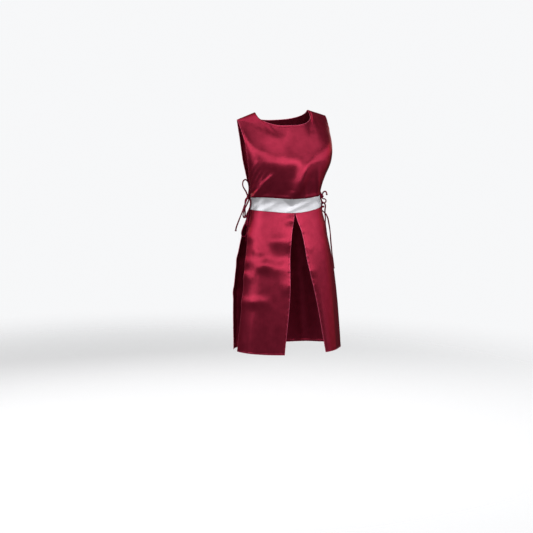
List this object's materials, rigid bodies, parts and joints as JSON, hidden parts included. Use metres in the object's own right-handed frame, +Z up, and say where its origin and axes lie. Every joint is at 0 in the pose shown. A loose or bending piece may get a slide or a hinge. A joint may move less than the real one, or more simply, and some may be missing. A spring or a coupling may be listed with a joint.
{
  "type": "ephod vestment",
  "caption": "Sleeveless satin ephod in its worn form, open at both sides, with a contrast waistband, split front skirt and side ties; neck, armholes and hem are open",
  "frame": {"origin": "the point midway between the neck ends of the two shoulder seams, where the wearer's shoulders hold the garment", "axes": "+Z up along the garment's length, the front faces -Y, and +X is the wearer's left"},
  "size_m": [0.4121, 0.2796, 0.8899],
  "materials": {
    "satin_red": "burgundy bridal satin, glossy, fine horizontal float weave",
    "satin_white": "white bridal satin, glossy",
    "cord_red": "round satin cord"
  },
  "bodies": {
    "root": {"front_bodice": "satin_red", "front_skirt_right": "satin_red", "front_skirt_left": "satin_red", "back_bodice": "satin_red", "back_skirt": "satin_red", "front_band": "satin_white", "back_band": "satin_white", "tie_right_upper_front": "cord_red", "tie_right_upper_back": "cord_red", "tie_right_lower_front": "cord_red", "tie_right_lower_back": "cord_red", "tie_left_upper_front": "cord_red", "tie_left_upper_back": "cord_red", "tie_left_lower_front": "cord_red", "tie_left_lower_back": "cord_red", "knot_right_upper": "cord_red", "knot_right_lower": "cord_red", "knot_left_upper": "cord_red", "knot_left_lower": "cord_red"}
  },
  "joints": []
}
